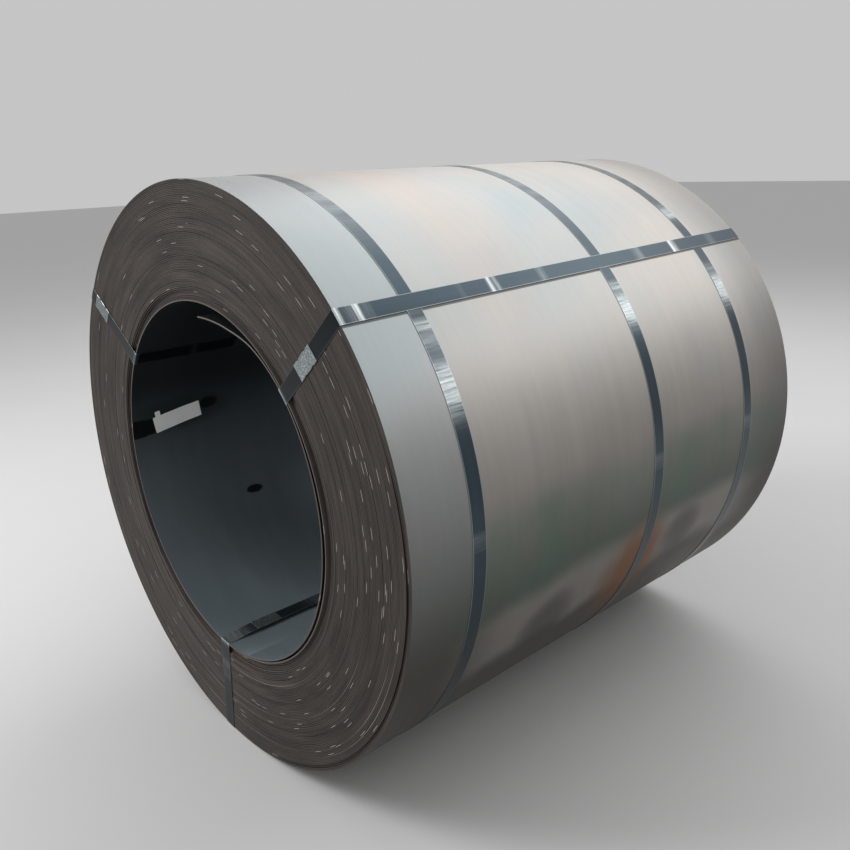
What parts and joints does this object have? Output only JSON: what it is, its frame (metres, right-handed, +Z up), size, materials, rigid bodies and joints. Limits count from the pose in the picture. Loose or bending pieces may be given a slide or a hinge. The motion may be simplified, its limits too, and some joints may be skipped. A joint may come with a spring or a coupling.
{
  "type": "steel coil",
  "caption": "Coil of hot-rolled steel strip lying on its side, held by steel straps round its outside and through its bore.",
  "frame": {"origin": "on the floor, straight under the middle of the coil's axis", "axes": "Y along the coil's axis, -Y out of the near end that shows the seals, +Z up"},
  "size_m": [1.2215, 1.2526, 1.2217],
  "materials": {
    "mill_scale_steel": "hot-rolled, blue-grey mill scale, matt with a soft sheen",
    "blued_strap": "blued high-tensile strapping with bright rubbed patches",
    "seal_steel": "bright zinc-coated crimped seals",
    "label_paper": "plain pale self-adhesive label, unprinted"
  },
  "bodies": {
    "root": {"coil": "mill_scale_steel", "belly_strap_front": "blued_strap", "belly_strap_middle": "blued_strap", "belly_strap_rear": "blued_strap", "belly_seal_front": "seal_steel", "belly_seal_middle": "seal_steel", "belly_seal_rear": "seal_steel", "eye_strap_right": "blued_strap", "eye_strap_left": "blued_strap", "eye_strap_bottom": "blued_strap", "eye_seal_right": "seal_steel", "eye_seal_left": "seal_steel", "eye_seal_bottom": "seal_steel", "label": "label_paper"}
  },
  "joints": []
}
